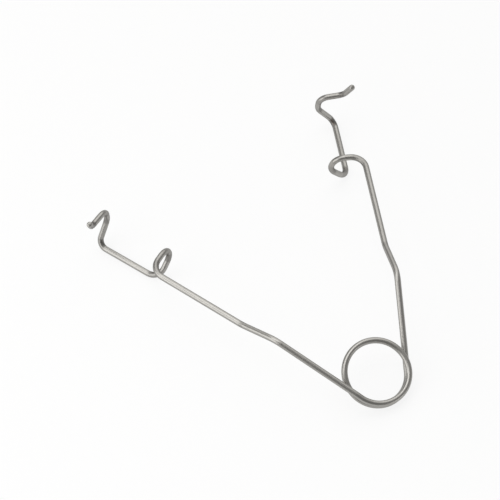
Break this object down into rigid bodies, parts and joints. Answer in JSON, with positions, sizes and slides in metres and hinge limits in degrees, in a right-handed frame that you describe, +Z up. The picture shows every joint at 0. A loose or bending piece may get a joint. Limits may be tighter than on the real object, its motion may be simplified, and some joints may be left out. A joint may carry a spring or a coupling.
{
  "type": "wire eye speculum",
  "caption": "Wire eye speculum: one round spring wire wound into a coil and bent into two arms with hooked lid blades that spring apart.",
  "frame": {"origin": "centre of the spring coil, on its axis and in its middle plane", "axes": "+X from the coil towards the lids, +Y towards the left arm, +Z up from the surface that the speculum lies on; the coil's axis leans back from +Z towards -X by 23.9 degrees"},
  "size_m": [0.0462, 0.044, 0.0098],
  "materials": {
    "steel_wire": "satin drawn stainless spring wire"
  },
  "bodies": {
    "spring_coil": {"coil_upper_turn": "steel_wire", "coil_lower_turn": "steel_wire"},
    "left_arm": {"left_spring_leg": "steel_wire", "left_finger_step": "steel_wire", "left_arm": "steel_wire", "left_lid_loop": "steel_wire", "left_lid_bar": "steel_wire", "left_lid_hook": "steel_wire", "left_tip": "steel_wire"},
    "right_arm": {"right_spring_leg": "steel_wire", "right_finger_step": "steel_wire", "right_arm": "steel_wire", "right_lid_loop": "steel_wire", "right_lid_bar": "steel_wire", "right_lid_hook": "steel_wire", "right_tip": "steel_wire"}
  },
  "joints": [
    {"name": "left_squeeze", "type": "hinge", "parent": "spring_coil", "child": "left_arm", "pos_m": [0, 0, 0], "axis": [0.4051, 0, -0.9143], "range_deg": [0, 23.5], "stiffness_Nm_per_rad": 0.15, "deforming": ["coil_upper_turn"]},
    {"name": "right_squeeze", "type": "hinge", "parent": "spring_coil", "child": "right_arm", "pos_m": [0, 0, 0], "axis": [-0.4051, 0, 0.9143], "range_deg": [0, 23.5], "stiffness_Nm_per_rad": 0.15, "deforming": ["coil_lower_turn"]}
  ],
  "couplings": [
    {"joint": "right_squeeze", "follows": "left_squeeze", "ratio": 1}
  ]
}
